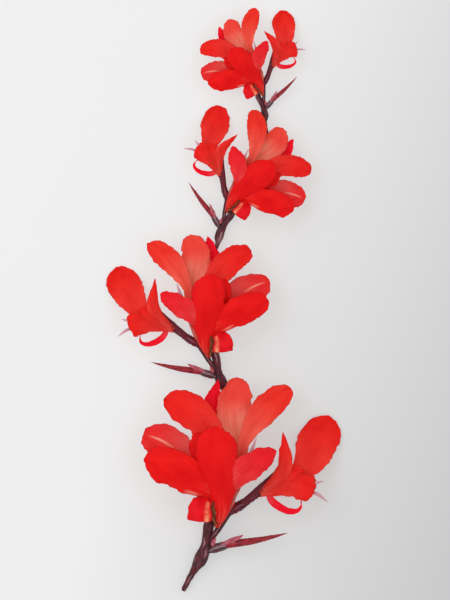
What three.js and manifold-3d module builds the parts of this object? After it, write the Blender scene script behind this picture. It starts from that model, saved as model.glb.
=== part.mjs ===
// A cut canna flower spray lying on its back: one stem that carries four clusters of bloom.
// Every cluster has an open flower, a flower seen from the side and a closed bud.
// The clusters are the same shape, each one smaller than the last and some of them mirrored.
// Millimetres. +X right, +Y along the stem towards its top, +Z up from the surface it lies on.

import * as THREE from "three";
import { ParametricGeometry } from "three/addons/geometries/ParametricGeometry.js";
import { mergeVertices } from "three/addons/utils/BufferGeometryUtils.js";
import Module from "manifold-3d";

const wasm = await Module();
wasm.setup();

// ---- Driving dimensions -------------------------------------------------------------------

const SHRINK = 0.82; // each cluster's size over that of the cluster below it
const FLOOR_SHIFT = [0.12, 0, 0]; // moves the spray over the middle of its own footprint
const PETAL_THICKNESS = 1.0; // at the middle of a petal of the lowest cluster
const PETAL_ROWS = 8; // stations along a petal
const PETAL_SIDES = 8; // points round a petal's section
const STEM_SIDES = 8;
const GAP = 0.45; // clearance between neighbours, in the lowest cluster

// Where each cluster's node sits on the surface, and how the cluster is turned about +Z.
const CLUSTERS = [
  { at: [-7, -124.5], turn: 0, mirrored: false },
  { at: [-5.1, -37.7], turn: 0, mirrored: true },
  { at: [-2.8, 37.2], turn: -43, mirrored: true },
  { at: [21, 96.4], turn: 33, mirrored: false },
];

const COLOURS = {
  scarlet: 0xee1c1c,
  coral: 0xee4a38,
  crimson: 0xd8102c,
  maroon: 0x5a2230,
};

// ---- Petals -------------------------------------------------------------------------------
// A petal follows a spine through four points. Its width grows from the claw to `widest`, a
// share of its length, and closes in a round tip at `tip` 0.5 or a pointed one at 1. `cup` is
// how far round its section bends, in degrees, at the claw and at the tip: above 0 the edges
// rise towards the viewer. `roll` lifts the right-hand edge, in degrees, at claw and tip.

const OPEN_FLOWER = {
  front_petal: {
    spine: [[5.3, 22, 20.2], [5.3, 35.5, 27.8], [3.8, 49, 31.4], [2.9, 61.8, 29.5]],
    width: 22.4, claw: 9, widest: 0.68, tip: 0.5, cup: [-110, -60], roll: [0, 0],
    colour: "scarlet",
  },
  right_petal: {
    spine: [[10, 34.8, 25], [17.4, 40.8, 27.7], [24.8, 45.4, 27.3], [32.7, 50, 24]],
    width: 13.4, claw: 8, widest: 0.52, tip: 0.5, cup: [-60, -35], roll: [-20, -5],
    colour: "scarlet",
  },
  left_petal: {
    spine: [[-3.4, 31.3, 23.8], [-12.4, 37, 27.6], [-22.2, 42.3, 27.9], [-32.4, 47, 23]],
    width: 19.6, claw: 8, widest: 0.58, tip: 0.45, cup: [-80, -45], roll: [20, 5],
    colour: "scarlet",
  },
  left_rear_petal: {
    spine: [[-3, 32, 15.5], [-11.5, 43.6, 15.5], [-22, 52.2, 15], [-33.6, 57.4, 12]],
    width: 20, claw: 6, widest: 0.62, tip: 0.45, cup: [50, 45], roll: [0, 0],
    colour: "coral",
  },
  upper_left_petal: {
    spine: [[3, 36, 18.4], [1.6, 54.4, 21.2], [-7.4, 68, 19.6], [-22.3, 76.2, 13]],
    width: 16.8, claw: 4.5, widest: 0.7, tip: 0.36, cup: [50, 20], roll: [0, 0],
    colour: "scarlet",
  },
  upper_middle_petal: {
    spine: [[11.6, 37, 14.6], [13.4, 53.5, 15.9], [11.4, 68.8, 14.4], [17.8, 85, 10.5]],
    width: 17.2, claw: 4.5, widest: 0.74, tip: 0.5, cup: [50, 20], roll: [0, 0],
    colour: "coral",
  },
  upper_right_petal: {
    spine: [[12.6, 37, 18.4], [17, 53.8, 20.4], [25.6, 67, 18.2], [40.3, 80, 12]],
    width: 14.2, claw: 3, widest: 0.74, tip: 0.4, cup: [45, 15], roll: [0, 0],
    colour: "scarlet",
  },
  lip: {
    spine: [[-2.4, 26.6, 20.4], [-4.4, 24.6, 23.6], [-5.5, 20.2, 25.4], [-5.6, 14.8, 24]],
    width: 12.2, claw: 6, widest: 0.8, tip: 0.2, cup: [-50, -30], roll: [0, 0],
    colour: "scarlet",
  },
};

const POINTED_PETAL = {
  spine: [[5, 27, 9.6], [-1.4, 47, 10.5], [-0.6, 67, 11], [4, 85, 10.5]],
  width: 8.6, claw: 4, widest: 0.65, tip: 0.9, cup: [40, 20], roll: [0, 0],
};

const SIDE_FLOWER = {
  broad_petal: {
    spine: [[43.5, 36, 12], [49.5, 45.5, 5.5], [55.5, 56, 0.3], [61.5, 67, 1.2]],
    width: 21, claw: 7, widest: 0.62, tip: 0.48, cup: [70, 30], roll: [0, 0],
    colour: "scarlet",
  },
  horned_petal: {
    spine: [[33, 36, 14], [35.5, 42, 16], [36.8, 49.5, 16.5], [36, 59.3, 15]],
    width: 8, claw: 6, widest: 0.3, tip: 1.3, cup: [60, 40], roll: [0, 0],
    colour: "scarlet",
  },
  curled_petal: {
    spine: [[30.4, 25.2, 9.2], [36.2, 20.6, 10], [43, 19.4, 11], [44.7, 24.4, 12]],
    width: 3.8, claw: 3, widest: 0.25, tip: 0.8, cup: [20, 20], roll: [0, 0],
    colour: "crimson",
  },
};

// ---- Tubes, stems and buds: stations of [x, y, z, radius] -----------------------------------

const OPEN_TUBE = [[3.6, 11.5, 8.5, 1.3], [5.5, 22, 13, 3.9], [6.5, 33, 17, 8]];
const SIDE_TUBE = [[23.5, 28, 8.5, 1.3], [36, 31, 11, 4], [50.5, 30, 13, 6]];
const TUBE_WALL = 0.9;
const TUBE_RINGS = 5; // outside, and as many inside
const TUBE_FLOOR = 0.35; // the hollow starts this share of the way up

const BUD = [[0.9, 0.4, 4.8, 1.6], [7, 2.1, 6, 2], [18, 4.1, 6.9, 1.8], [30, 6.2, 6.6, 1.05], [38.6, 8.5, 6, 0.15]];

const RACHIS = [[-12.4, -20, 3.6, 1.5], [-8.8, -11.4, 3, 1.6], [-4.8, -4.4, 3.3, 3.3], [-2.3, 2.6, 4, 2.5], [-0.9, 11, 4.6, 2.6], [2, 22, 5, 2]];
const CUT_END = [-13.2, -20.6, 1.5, 1.4]; // the tail of the lowest cluster comes down to rest
const STEM_TOP = [1.6, 13.6, 6.5, 1.2]; // the last cluster's open flower ends the stem
const SIDE_STALK = [[-1, 4, 4.4, 1.2], [3.4, 9.6, 6, 1.5], [8, 17, 6.5, 1.6], [12.5, 20, 7, 2.3], [16.5, 22.6, 7.5, 1.9], [22, 27, 8.2, 1.2]];
const BRACT = { spine: [[13, 20.4, 8.3], [19.2, 26.4, 9.4], [26.2, 33, 10.8], [33, 40.2, 11.8]], width: 3.6, claw: 3, widest: 0.3, tip: 1, cup: [60, 40], roll: [0, 0] };

// ---- Shaping ------------------------------------------------------------------------------

const vec = (p) => new THREE.Vector3(p[0], p[1], p[2]);

// The cubic curve that passes through four points, a third of the way apart.
function cubicThrough(points) {
  const [p0, p1, p2, p3] = points.map(vec);
  const mix = (a, b, c, d) =>
    p0.clone().multiplyScalar(a).addScaledVector(p1, b).addScaledVector(p2, c).addScaledVector(p3, d);
  return new THREE.CubicBezierCurve3(
    p0,
    mix(-5 / 6, 3, -3 / 2, 1 / 3),
    mix(1 / 3, -3 / 2, 3, -5 / 6),
    p3,
  );
}

// A grown shape is longer by `extra` at both of its ends.
const endShift = (station, extra) => (station === 0 ? -extra : station === 1 ? extra : 0);

// A closed skin: `rows` sections along, each of `sides` points, pinched shut at both ends.
function closedSkin(pointAt, rows, sides) {
  const stacks = rows + 1;
  const skin = (around, along, target) => {
    const row = Math.round(along * stacks);
    const station = THREE.MathUtils.clamp((row - 1) / (rows - 1), 0, 1);
    const pinched = row === 0 || row === stacks;
    target.copy(pointAt(station, around % 1, pinched));
  };
  return new ParametricGeometry(skin, sides, stacks);
}

function halfWidth(petal, along) {
  const { width, claw, widest, tip } = petal;
  if (along < widest) {
    const grown = Math.sin((along / widest) * Math.PI / 2) ** 1.4;
    return THREE.MathUtils.lerp(claw, width, grown) / 2;
  }
  const past = (along - widest) / (1 - widest);
  return (width / 2) * Math.max(1 - past * past, 0) ** tip;
}

// Grown by `extra` on every side, a petal is the room that its neighbours keep out of.
function petalGeometry(petal, extra = 0) {
  const spine = cubicThrough(petal.spine);
  const heading = vec(petal.spine[3]).sub(vec(petal.spine[0])).setZ(0).normalize();
  const level = new THREE.Vector3(heading.y, -heading.x, 0);
  const up = new THREE.Vector3(0, 0, 1);
  const lastStation = 0.985; // the tip stops just short, so that its section keeps a width
  const pointAt = (station, around, pinched) => {
    const along = Math.sin((station * Math.PI) / 2) ** 0.9 * lastStation;
    const tangent = spine.getTangentAt(along);
    const roll = THREE.MathUtils.degToRad(THREE.MathUtils.lerp(...petal.roll, along));
    const side = level.clone().multiplyScalar(Math.cos(roll)).addScaledVector(up, Math.sin(roll));
    side.addScaledVector(tangent, -side.dot(tangent)).normalize();
    const face = side.clone().cross(tangent);
    const middle = spine.getPointAt(along).addScaledVector(tangent, endShift(station, extra));
    if (pinched) return middle;
    const across = around <= 0.5 ? around * 4 - 1 : 3 - around * 4;
    const bend = THREE.MathUtils.degToRad(THREE.MathUtils.lerp(...petal.cup, along)) / 2;
    const radius = halfWidth(petal, along) / bend;
    const edge = Math.abs(across) > 0.999;
    const half = (edge ? 0 : PETAL_THICKNESS / 2) + extra;
    const offset = around < 0.5 ? half : -half;
    const turn = across * bend;
    middle.addScaledVector(side, radius * Math.sin(turn) + (edge ? across * extra : 0));
    return middle.addScaledVector(face, radius * (1 - Math.cos(turn)) + (edge ? 0 : offset));
  };
  return closedSkin(pointAt, PETAL_ROWS, PETAL_SIDES);
}

// A round stalk through stations of [x, y, z, radius].
function stalkGeometry(stations, rows, extra = 0) {
  const path = new THREE.CatmullRomCurve3(stations.map(vec), false, "centripetal");
  const radii = new THREE.CatmullRomCurve3(
    stations.map((s, i) => new THREE.Vector3(i / (stations.length - 1), s[3], 0)),
  );
  const up = new THREE.Vector3(0, 0, 1);
  const pointAt = (station, around, pinched) => {
    const tangent = path.getTangent(station);
    const middle = path.getPoint(station).addScaledVector(tangent, endShift(station, extra));
    if (pinched) return middle;
    const side = tangent.clone().cross(up).normalize();
    const top = side.clone().cross(tangent);
    const turn = around * 2 * Math.PI;
    const radius = radii.getPoint(station).y + extra;
    return middle
      .addScaledVector(side, radius * Math.cos(turn))
      .addScaledVector(top, radius * Math.sin(turn));
  };
  return closedSkin(pointAt, rows, STEM_SIDES);
}

// A flower's tube: a funnel with a thin wall, closed at its foot and open at its mouth.
function funnelGeometry(stations, extra = 0) {
  const path = new THREE.CatmullRomCurve3(stations.map(vec));
  const [low, middle, high] = stations.map((s) => s[3]);
  const flare = new THREE.QuadraticBezierCurve(
    new THREE.Vector2(0, low),
    new THREE.Vector2(0.5, 2 * middle - (low + high) / 2),
    new THREE.Vector2(1, high),
  );
  const up = new THREE.Vector3(0, 0, 1);
  const pointAt = (station, around, pinched) => {
    const ring = Math.round(station * (2 * TUBE_RINGS - 1));
    const inner = ring >= TUBE_RINGS;
    const climb = (inner ? ring - TUBE_RINGS : ring) / (TUBE_RINGS - 1);
    const share = inner ? THREE.MathUtils.lerp(1, TUBE_FLOOR, climb) : climb;
    const tangent = path.getTangentAt(share);
    const shift = share === 0 ? -extra : share === 1 ? extra : 0;
    const centre = path.getPointAt(share).addScaledVector(tangent, shift);
    if (pinched) return centre;
    const side = tangent.clone().cross(up).normalize();
    const top = side.clone().cross(tangent);
    const turn = around * 2 * Math.PI;
    const radius = flare.getPoint(share).y + (inner ? -TUBE_WALL - extra : extra);
    return centre
      .addScaledVector(side, radius * Math.cos(turn))
      .addScaledVector(top, radius * Math.sin(turn));
  };
  return closedSkin(pointAt, 2 * TUBE_RINGS, STEM_SIDES);
}

// ---- Solids: joining and cutting ------------------------------------------------------------

function solidOf(geometry) {
  const bare = geometry.clone();
  bare.deleteAttribute("normal");
  bare.deleteAttribute("uv");
  const merged = mergeVertices(bare, 1e-4);
  const corners = merged.index.array;
  const kept = [];
  for (let i = 0; i < corners.length; i += 3) {
    const [a, b, c] = corners.slice(i, i + 3);
    if (a !== b && b !== c && a !== c) kept.push(a, b, c);
  }
  const build = (triangles) =>
    new wasm.Manifold(
      new wasm.Mesh({
        numProp: 3,
        vertProperties: merged.attributes.position.array,
        triVerts: new Uint32Array(triangles),
      }),
    );
  const solid = build(kept);
  if (solid.volume() > 0) return solid;
  for (let i = 0; i < kept.length; i += 3) [kept[i + 1], kept[i + 2]] = [kept[i + 2], kept[i + 1]];
  return build(kept);
}

function geometryOf(solid) {
  const mesh = solid.getMesh();
  const geometry = new THREE.BufferGeometry();
  geometry.setAttribute("position", new THREE.BufferAttribute(mesh.vertProperties, 3));
  geometry.setIndex(new THREE.BufferAttribute(mesh.triVerts, 1));
  geometry.computeVertexNormals();
  return geometry;
}

function largestBody(solid) {
  return solid.decompose().reduce((a, b) => (b.volume() > a.volume() ? b : a));
}

const placed = (solid, matrix) => solid.transform(matrix.elements);

// The surface that the spray lies on: what would sink into it is pressed flat.
const surface = solidOf(new THREE.BoxGeometry(400, 400, 20).translate(0, 0, -10));

// ---- One cluster, made once in its own frame ------------------------------------------------

function clusterSolids() {
  const solids = {};
  const rooms = []; // what each finished piece keeps clear around itself
  const add = (name, solid, room, colour) => {
    let clear = solid.subtract(surface);
    for (const other of rooms) clear = clear.subtract(other);
    solids[name] = { solid: largestBody(clear), colour };
    rooms.push(room);
  };
  rooms.push(solidOf(stalkGeometry(RACHIS, 12, GAP)), solidOf(stalkGeometry(SIDE_STALK, 9, GAP)));
  rooms.push(solidOf(petalGeometry(BRACT, GAP)));
  const openTube = solidOf(funnelGeometry(OPEN_TUBE)).add(solidOf(petalGeometry(POINTED_PETAL)));
  const openRoom = solidOf(funnelGeometry(OPEN_TUBE, GAP)).add(solidOf(petalGeometry(POINTED_PETAL, GAP)));
  add("open_flower_corolla", openTube, openRoom, "scarlet");
  for (const [name, petal] of Object.entries(OPEN_FLOWER))
    add(`open_flower_${name}`, solidOf(petalGeometry(petal)), solidOf(petalGeometry(petal, GAP)), petal.colour);
  add("side_flower_tube", solidOf(funnelGeometry(SIDE_TUBE)), solidOf(funnelGeometry(SIDE_TUBE, GAP)), "scarlet");
  for (const [name, petal] of Object.entries(SIDE_FLOWER))
    add(`side_flower_${name}`, solidOf(petalGeometry(petal)), solidOf(petalGeometry(petal, GAP)), petal.colour);
  add("bud", solidOf(stalkGeometry(BUD, 8)), solidOf(stalkGeometry(BUD, 8, GAP)), "crimson");
  return solids;
}

function clusterMatrix(cluster, index) {
  const size = SHRINK ** index;
  return new THREE.Matrix4().compose(
    new THREE.Vector3(...cluster.at, 0),
    new THREE.Quaternion().setFromAxisAngle(new THREE.Vector3(0, 0, 1), THREE.MathUtils.degToRad(cluster.turn)),
    new THREE.Vector3(cluster.mirrored ? -size : size, size, size),
  );
}

// ---- The stem: one rachis through every cluster, with its side stalks and bracts -------------

function stemSolid() {
  const stations = [];
  CLUSTERS.forEach((cluster, index) => {
    const matrix = clusterMatrix(cluster, index);
    const size = SHRINK ** index;
    const local = RACHIS.map((s) => [...s]);
    if (index === 0) local[0] = CUT_END;
    if (index === CLUSTERS.length - 1) local[local.length - 1] = STEM_TOP;
    for (const s of local) stations.push([...vec(s).applyMatrix4(matrix).toArray(), s[3] * size]);
  });
  let stem = solidOf(stalkGeometry(stations, 56));
  CLUSTERS.forEach((cluster, index) => {
    const matrix = clusterMatrix(cluster, index);
    stem = stem.add(placed(solidOf(stalkGeometry(SIDE_STALK, 9)), matrix));
    stem = stem.add(placed(solidOf(petalGeometry(BRACT)), matrix));
  });
  return stem.subtract(surface);
}

// ---- The scene --------------------------------------------------------------------------------

function finish(colour) {
  return new THREE.MeshStandardMaterial({ color: COLOURS[colour], roughness: 0.5, metalness: 0 });
}

const spray = new THREE.Group();
spray.position.set(...FLOOR_SHIFT);

const stem = new THREE.Mesh(geometryOf(stemSolid()), finish("maroon"));
stem.name = "stem";
spray.add(stem);

const solids = clusterSolids();
CLUSTERS.forEach((cluster, index) => {
  const group = new THREE.Group();
  group.applyMatrix4(clusterMatrix(cluster, index));
  for (const [name, { solid, colour }] of Object.entries(solids)) {
    const mesh = new THREE.Mesh(geometryOf(solid), finish(colour));
    mesh.name = `cluster${index + 1}_${name}`;
    group.add(mesh);
  }
  spray.add(group);
});

export default spray;
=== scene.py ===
# %% [markdown]
# # A cut spray of canna, lying on its back
#
# Canna carries its bloom in small groups along one stem. Each group here has an open flower, a flower
# seen from the side and a closed bud, and every group is a smaller copy of the one below it.
# The frame holds plain solids at the true place and size. This lesson puts a finished skin in the place
# of each one: petals a fraction of a millimetre thick, with ruffled rims and veins, and a ribbed stem.

# %% Load the frame
import math
import bpy
from mathutils import Matrix, Vector


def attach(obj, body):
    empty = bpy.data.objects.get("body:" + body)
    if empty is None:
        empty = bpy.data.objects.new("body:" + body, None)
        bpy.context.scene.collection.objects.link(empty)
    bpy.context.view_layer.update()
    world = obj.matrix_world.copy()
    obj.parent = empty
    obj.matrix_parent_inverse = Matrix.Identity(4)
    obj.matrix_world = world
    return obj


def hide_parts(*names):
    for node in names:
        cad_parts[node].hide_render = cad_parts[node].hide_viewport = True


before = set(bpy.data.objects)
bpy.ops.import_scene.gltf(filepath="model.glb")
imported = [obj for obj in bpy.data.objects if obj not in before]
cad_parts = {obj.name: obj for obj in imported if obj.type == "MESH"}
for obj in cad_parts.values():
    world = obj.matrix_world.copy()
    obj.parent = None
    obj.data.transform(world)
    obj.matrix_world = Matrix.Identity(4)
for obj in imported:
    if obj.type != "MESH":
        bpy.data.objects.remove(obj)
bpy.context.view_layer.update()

# %% [markdown]
# ## The plan of the spray
#
# Each group has its own small frame, with its origin where the bud, the flower stalk and the stem meet.
# A group is built once in millimetres, and a matrix carries it to its place: it shrinks, turns, and on
# two of the four groups it is mirrored. Writing the plan as a list keeps every petal's numbers in one
# frame, and makes the groups alike, as they are on the plant.

# %% Groups and their places
MM = 0.001
SHRINK = 0.82  # each group's size over that of the group below it
SHIFT = Vector((0.12, 0, 0))  # brings the spray over the middle of its footprint
GROUPS = [
    {"at": (-7, -124.5), "turn": 0, "mirrored": False},
    {"at": (-5.1, -37.7), "turn": 0, "mirrored": True},
    {"at": (-2.8, 37.2), "turn": -43, "mirrored": True},
    {"at": (21, 96.4), "turn": 33, "mirrored": False},
]


def group_matrix(index):
    """The matrix that carries group `index` from its own millimetres to the row's metres."""
    group = GROUPS[index]
    size = SHRINK**index
    flip = Matrix.Diagonal((-size if group["mirrored"] else size, size, size, 1))
    turn = Matrix.Rotation(math.radians(group["turn"]), 4, "Z")
    place = Matrix.Translation(Vector((*group["at"], 0)) + SHIFT)
    return Matrix.Scale(MM, 4) @ place @ turn @ flip


print("group sizes:", [round(SHRINK**i, 2) for i in range(len(GROUPS))])

# %% [markdown]
# ## Camera, light and floor
#
# The spray lies flat and is seen from straight above, so the camera hangs over it. A long lens from far
# away shows petals near the lens and petals on the floor at almost the same scale. The light is that of
# a bright, soft studio: a pale world, one wide lamp from the upper left that shapes the petals, and a
# weaker one from the lower right that fills their shadows.

# %% Camera
LENS_MM = 480
CAMERA_OVER = (0.00037, 0.00025)  # the spray sits a hair off the middle of the view
CAMERA_HEIGHT = 4.0  # a 36 mm sensor behind that lens then sees 300 mm of floor from end to end
camera_data = bpy.data.cameras.new("overhead_camera")
camera_data.lens = LENS_MM
camera_data.clip_end = 20
camera = bpy.data.objects.new("overhead_camera", camera_data)
camera.location = (*CAMERA_OVER, CAMERA_HEIGHT)
bpy.context.collection.objects.link(camera)
bpy.context.scene.camera = camera
print("floor in view:", round(36 / LENS_MM * CAMERA_HEIGHT * 1000), "mm")


# %% Colours and a way to build node trees
def linear(hex_colour):
    """An sRGB hex colour as the linear values that shaders work in."""
    channels = [int(hex_colour[i : i + 2], 16) / 255 for i in (0, 2, 4)]
    return (*[c / 12.92 if c <= 0.04045 else ((c + 0.055) / 1.055) ** 2.4 for c in channels], 1)


def add(tree, kind, links=(), **settings):
    """Adds a node, applies its settings, and fills its inputs with values or with other outputs."""
    node = tree.nodes.new(kind)
    for key, value in settings.items():
        setattr(node, key, value)
    pairs = links.items() if isinstance(links, dict) else enumerate(links)
    for key, value in pairs:
        if isinstance(value, bpy.types.Node):
            value = next(s for s in value.outputs if s.enabled)
        if isinstance(value, bpy.types.NodeSocket):
            tree.links.new(value, node.inputs[key])
        elif value is not None:
            node.inputs[key].default_value = value
    return node


# %% World, lamps and floor
scene = bpy.context.scene
scene.view_settings.view_transform = "Standard"
world = bpy.data.worlds.new("studio")
world.use_nodes = True
world.node_tree.nodes["Background"].inputs["Color"].default_value = linear("FFFFFF")
world.node_tree.nodes["Background"].inputs["Strength"].default_value = 0.82
scene.world = world


def soft_lamp(name, place, size, watts):
    """A square area lamp that faces the middle of the spray."""
    data = bpy.data.lights.new(name, "AREA")
    data.size = size
    data.energy = watts
    lamp = bpy.data.objects.new(name, data)
    lamp.location = place
    lamp.rotation_euler = (-Vector(place)).to_track_quat("-Z", "Y").to_euler()
    bpy.context.collection.objects.link(lamp)


soft_lamp("wide_lamp_left", (-0.75, 0.45, 1.1), 1.1, 5.5)
soft_lamp("fill_lamp_right", (0.9, -0.4, 1.3), 1.2, 2.0)

floor_mesh = bpy.data.meshes.new("floor")
reach = 3.0
below = -0.0003  # a hair under the petals, so that the two don't flicker through each other
corners = [(-1, -1), (1, -1), (1, 1), (-1, 1)]
floor_mesh.from_pydata([(x * reach, y * reach, below) for x, y in corners], [], [(0, 1, 2, 3)])
floor = bpy.data.objects.new("floor", floor_mesh)
bpy.context.collection.objects.link(floor)
# The floor's top is given emission: painted light that fills the shadows on it, so they stay
# faint. This painted light is weaker towards the lower right, a painted falloff of the upper left lamp.
PAINTED_LIGHT_FALLS_TOWARD = (1, -0.35, 0)
PAINTED_LIGHT_MOST = 0.55
PAINTED_LIGHT_LEAST = 0.272
floor_painted_light = bpy.data.materials.new("floor_top_with_painted_light")
floor_painted_light.use_nodes = True
floor_painted_light_tree = floor_painted_light.node_tree
floor_painted_light_shader = floor_painted_light_tree.nodes["Principled BSDF"]
floor_painted_light_shader.inputs["Base Color"].default_value = (0.3, 0.3, 0.3, 1)
floor_painted_light_shader.inputs["Roughness"].default_value = 0.95
floor_painted_light_shader.inputs["Specular IOR Level"].default_value = 0.0
where = add(floor_painted_light_tree, "ShaderNodeTexCoord")
spot_on_table = where.outputs["Object"]
slant = add(floor_painted_light_tree, "ShaderNodeVectorMath", [spot_on_table, PAINTED_LIGHT_FALLS_TOWARD], operation="DOT_PRODUCT")
# Emission strength: painted light, brightest at the upper left and weaker towards the lower right.
painted_floor_light = add(floor_painted_light_tree, "ShaderNodeMapRange", [slant.outputs["Value"], -0.03, 0.17, PAINTED_LIGHT_MOST, PAINTED_LIGHT_LEAST])
floor_painted_light_tree.links.new(painted_floor_light.outputs[0], floor_painted_light_shader.inputs["Emission Strength"])
floor_painted_light_shader.inputs["Emission Color"].default_value = (1, 1, 1, 1)
floor_mesh.materials.append(floor_painted_light)

# %% [markdown]
# ## Petal tissue
#
# A canna petal is thin wet tissue under a satin skin. Its red lies in the outer cells, so it looks even
# and deep; the veins run from the claw and fan out, and show as finer, paler streaks. Light passes
# through the sheet, which a little subsurface scattering gives. The pattern has to follow the petal and
# not the room, so it reads the petal's own UV map: U goes across and V from the claw to the tip.


# %% Petal material
def petal_tissue(name, body, deep, pale, claw_share=0.3, far_veins=0.02, flush=0.0, mark_and_highlight=None):
    """Satin petal tissue: `body` mottled with `deep`, which also darkens the rim as painted shade; `pale`
    streaks and flush at the claw.
    """
    material = bpy.data.materials.new(name)
    material.use_nodes = True
    tree = material.node_tree
    shader = tree.nodes["Principled BSDF"]
    uv = add(tree, "ShaderNodeUVMap", uv_map="UVMap")
    split = add(tree, "ShaderNodeSeparateXYZ", [uv])
    across, along = split.outputs[0], split.outputs[1]
    # Mottling about 9 mm wide and half as long again, on the broadest petals.
    soft = add(tree, "ShaderNodeMapping", [uv, None, None, (2.2, 3, 1)])
    mottle = add(tree, "ShaderNodeTexNoise", {"Vector": soft, "Scale": 1.0, "Detail": 3.0})
    mottled = add(tree, "ShaderNodeMapRange", [mottle, 0.35, 0.7, 0, 1])
    base = add(tree, "ShaderNodeMix", data_type="RGBA")
    tree.links.new(mottled.outputs[0], base.inputs[0])
    base.inputs[6].default_value = linear(deep)
    base.inputs[7].default_value = linear(body)
    # Veins 1 to 2 mm apart on a broad petal, strongest near the claw.
    fine = add(tree, "ShaderNodeMapping", [uv, None, None, (13, 2.2, 1)])
    vein = add(
        tree,
        "ShaderNodeTexNoise",
        {"Vector": fine, "Scale": 1.0, "Detail": 3.0, "Roughness": 0.55, "Distortion": 0.35},
    )
    streak = add(tree, "ShaderNodeMapRange", [vein, 0.5, 0.75, 0, 1])
    fading = add(tree, "ShaderNodeMapRange", [along, 0.02, claw_share, 1, far_veins])
    shown = add(tree, "ShaderNodeMath", [streak, fading], operation="MULTIPLY")
    # A pale flush rises from the claw, and its end is soft and uneven. On the coral petal the strong
    # flush is partly painted light that lifts the shade where that petal lies low.
    flushed = add(tree, "ShaderNodeMapRange", [along, 0.45, 0.85, flush, 0], interpolation_type="SMOOTHSTEP")
    half_even = add(tree, "ShaderNodeMapRange", [mottled, 0, 1, 0.55, 1])
    flush_and_painted_light = add(tree, "ShaderNodeMath", [flushed, half_even], operation="MULTIPLY")
    warm = add(tree, "ShaderNodeMix", data_type="RGBA")
    tree.links.new(flush_and_painted_light.outputs[0], warm.inputs[0])
    tree.links.new(base.outputs[2], warm.inputs[6])
    warm.inputs[7].default_value = linear(pale)
    veined = add(tree, "ShaderNodeMix", data_type="RGBA")
    tree.links.new(shown.outputs[0], veined.inputs[0])
    tree.links.new(warm.outputs[2], veined.inputs[6])
    veined.inputs[7].default_value = linear(pale)
    colour = veined.outputs[2]
    # The rim is darker, over a twenty-fifth of the width at each side and the last tenth at the tip:
    # partly the tissue's own deeper rim, partly painted shade where petals lie over one another.
    centred = add(tree, "ShaderNodeMath", [across, 0.5], operation="SUBTRACT")
    from_middle = add(tree, "ShaderNodeMath", [centred], operation="ABSOLUTE")
    side_rim_shade = add(tree, "ShaderNodeMapRange", [from_middle, 0.46, 0.5, 0, 0.35])
    tip_rim_shade = add(tree, "ShaderNodeMapRange", [along, 0.9, 1, 0, 0.5])
    rim = add(tree, "ShaderNodeMath", [side_rim_shade, tip_rim_shade], operation="MAXIMUM")
    rim_shaded = add(tree, "ShaderNodeMix", data_type="RGBA")
    tree.links.new(rim.outputs[0], rim_shaded.inputs[0])
    tree.links.new(colour, rim_shaded.inputs[6])
    rim_shaded.inputs[7].default_value = linear(deep)
    colour = rim_shaded.outputs[2]
    # A lengthwise band of another colour: on the lip a yellow throat marking of its own, on the left and
    # left rear petals a painted highlight.
    if mark_and_highlight:
        off_band = add(tree, "ShaderNodeMath", [across, mark_and_highlight["middle"]], operation="SUBTRACT")
        off_band = add(tree, "ShaderNodeMath", [off_band], operation="ABSOLUTE")
        band = add(tree, "ShaderNodeMapRange", [off_band, mark_and_highlight["reach"], 0, 0, 1])
        above = add(tree, "ShaderNodeMapRange", [along, mark_and_highlight["low"], mark_and_highlight["low"] + 0.1, 0, 1])
        below = add(tree, "ShaderNodeMapRange", [along, mark_and_highlight["high"] - 0.1, mark_and_highlight["high"], 1, 0])
        here = add(tree, "ShaderNodeMath", [above, below], operation="MULTIPLY")
        lengthwise = add(tree, "ShaderNodeMath", [band, here], operation="MULTIPLY")
        ragged = add(tree, "ShaderNodeMath", [lengthwise, mottled], operation="MULTIPLY")
        marked_and_highlit = add(tree, "ShaderNodeMix", data_type="RGBA")
        tree.links.new(ragged.outputs[0], marked_and_highlit.inputs[0])
        tree.links.new(colour, marked_and_highlit.inputs[6])
        marked_and_highlit.inputs[7].default_value = linear(mark_and_highlight["colour"])
        colour = marked_and_highlit.outputs[2]
    tree.links.new(colour, shader.inputs["Base Color"])
    grain = add(tree, "ShaderNodeMapRange", [vein, 0.3, 0.7, 0.5, 0.62])
    tree.links.new(grain.outputs[0], shader.inputs["Roughness"])
    ridge = add(tree, "ShaderNodeBump", {"Strength": 0.07, "Distance": 0.0003, "Height": vein})
    tree.links.new(ridge.outputs[0], shader.inputs["Normal"])
    shader.inputs["IOR"].default_value = 1.38
    shader.inputs["Specular IOR Level"].default_value = 0.09
    shader.inputs["Subsurface Weight"].default_value = 0.25
    shader.inputs["Subsurface Radius"].default_value = (1.0, 0.12, 0.08)
    shader.inputs["Subsurface Scale"].default_value = 0.0025
    return material


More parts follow.
